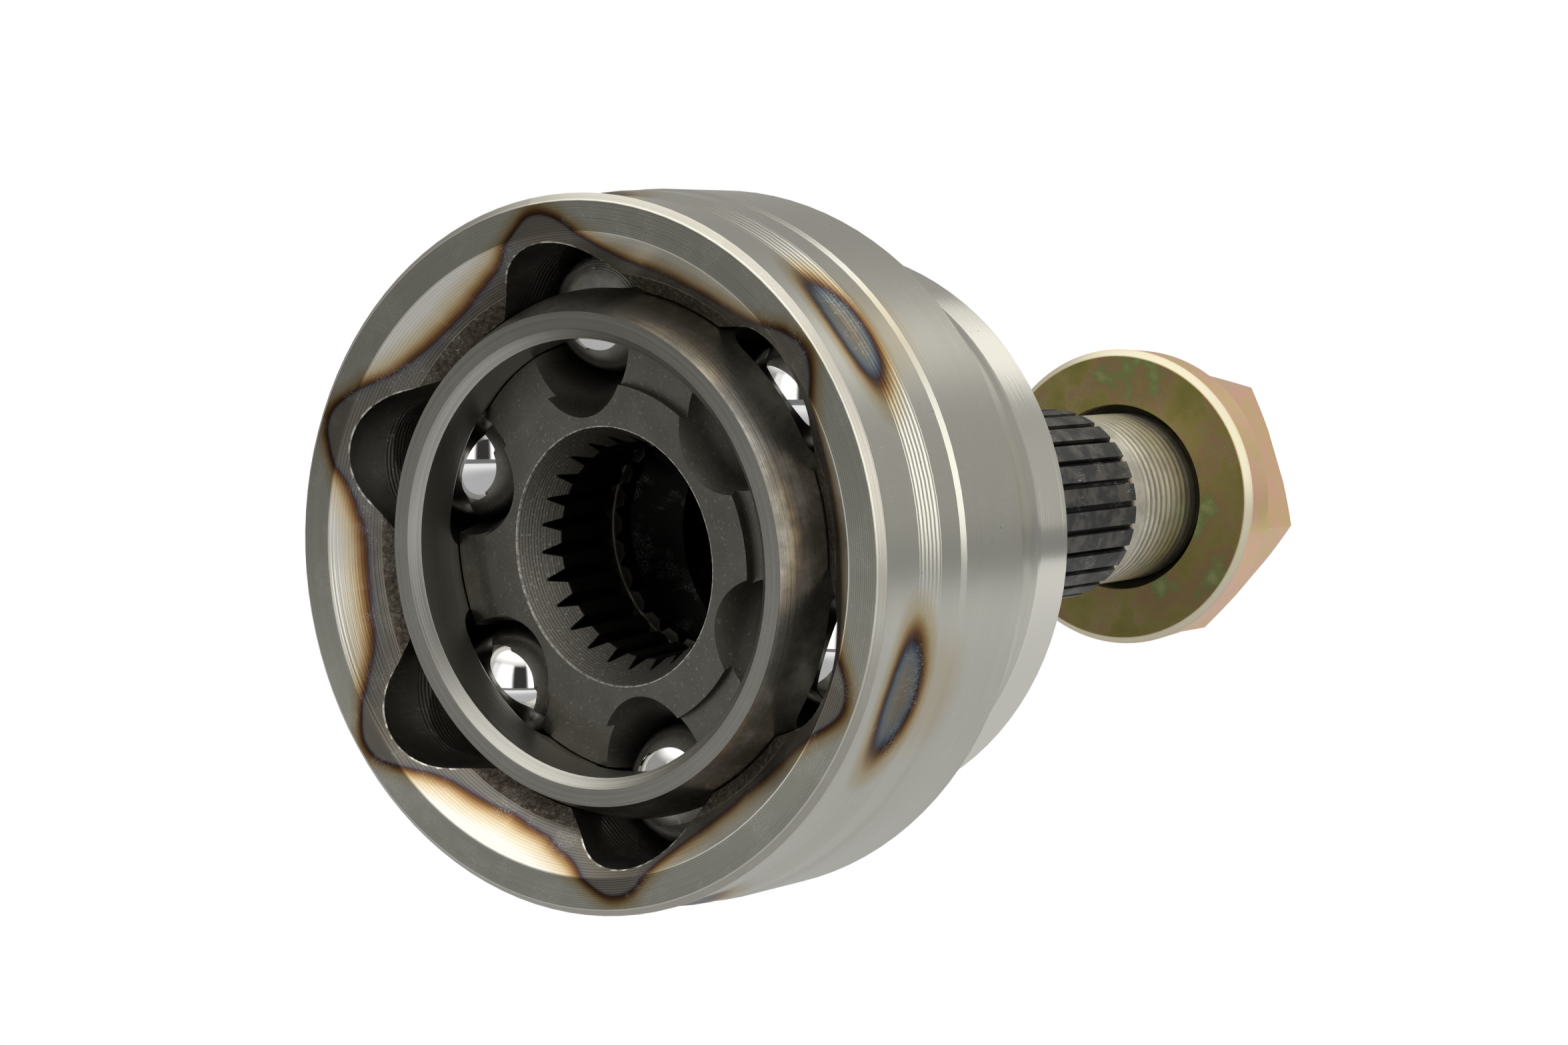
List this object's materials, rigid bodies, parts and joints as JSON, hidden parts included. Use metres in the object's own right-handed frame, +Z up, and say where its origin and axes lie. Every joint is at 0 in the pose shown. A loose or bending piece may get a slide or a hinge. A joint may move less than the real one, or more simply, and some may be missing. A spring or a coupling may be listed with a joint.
{
  "type": "cv joint",
  "caption": "Fixed ball-type constant-velocity joint: a steel bell with a splined, threaded stub and hub nut, holding a cage, balls and a splined inner race.",
  "frame": {"origin": "centre of the joint, where the bell axis crosses the plane of the ball centres, on the shaft bore's axis", "axes": "+X along the bell and stub axis towards the nut, +Z up with the stub held level, +Y to the left when looking along +X"},
  "size_m": [0.1467, 0.0846, 0.0846],
  "materials": {
    "turned_steel": "turned, part induction-hardened with heat tint",
    "cage_steel": "phosphated and ground",
    "race_steel": "matt heat-treated",
    "ball_chrome": "polished",
    "yellow_zinc": "yellow passivated zinc"
  },
  "bodies": {
    "outer_race": {"outer_race": "turned_steel"},
    "cage": {"cage": "cage_steel"},
    "inner_race": {"inner_race": "race_steel"},
    "ball_1": {"ball_1": "ball_chrome"},
    "ball_2": {"ball_2": "ball_chrome"},
    "ball_3": {"ball_3": "ball_chrome"},
    "ball_4": {"ball_4": "ball_chrome"},
    "ball_5": {"ball_5": "ball_chrome"},
    "ball_6": {"ball_6": "ball_chrome"},
    "axle_nut": {"axle_nut": "yellow_zinc"}
  },
  "joints": [
    {"name": "joint_bend", "type": "hinge", "parent": "outer_race", "child": "inner_race", "pos_m": [0, 0, 0], "axis": [0, 0.6361, 0.7716], "range_deg": [-37.8, 52.2]},
    {"name": "cage_tilt", "type": "hinge", "parent": "outer_race", "child": "cage", "pos_m": [0, 0, 0], "axis": [0, 0.6361, 0.7716], "range_deg": [-19, 26.2]},
    {"name": "ball_1_travel", "type": "hinge", "parent": "outer_race", "child": "ball_1", "pos_m": [-0.005, 0, 0], "axis": [0, 0.9863, -0.165], "range_deg": [-9.9, 13.7]},
    {"name": "ball_2_travel", "type": "hinge", "parent": "outer_race", "child": "ball_2", "pos_m": [-0.005, 0, 0], "axis": [0, 0.3502, -0.9367], "range_deg": [-13.7, 9.9]},
    {"name": "ball_3_travel", "type": "hinge", "parent": "outer_race", "child": "ball_3", "pos_m": [-0.005, 0, 0], "axis": [0, -0.6361, -0.7716], "range_deg": [-26.2, 19]},
    {"name": "ball_4_travel", "type": "hinge", "parent": "outer_race", "child": "ball_4", "pos_m": [-0.005, 0, 0], "axis": [0, -0.9863, 0.165], "range_deg": [-13.7, 9.9]},
    {"name": "ball_5_travel", "type": "hinge", "parent": "outer_race", "child": "ball_5", "pos_m": [-0.005, 0, 0], "axis": [0, -0.3502, 0.9367], "range_deg": [-9.9, 13.7]},
    {"name": "ball_6_travel", "type": "hinge", "parent": "outer_race", "child": "ball_6", "pos_m": [-0.005, 0, 0], "axis": [0, 0.6361, 0.7716], "range_deg": [-19, 26.2]},
    {"name": "nut_turn", "type": "hinge", "parent": "outer_race", "child": "axle_nut", "pos_m": [0.121, 0, 0], "axis": [1, 0, 0], "continuous": true}
  ],
  "couplings": [
    {"joint": "cage_tilt", "follows": "joint_bend", "ratio": 0.5},
    {"joint": "ball_1_travel", "follows": "joint_bend", "ratio": 0.2598},
    {"joint": "ball_2_travel", "follows": "joint_bend", "ratio": -0.2596},
    {"joint": "ball_3_travel", "follows": "joint_bend", "ratio": -0.5},
    {"joint": "ball_4_travel", "follows": "joint_bend", "ratio": -0.2596},
    {"joint": "ball_5_travel", "follows": "joint_bend", "ratio": 0.2598},
    {"joint": "ball_6_travel", "follows": "joint_bend", "ratio": 0.5}
  ]
}
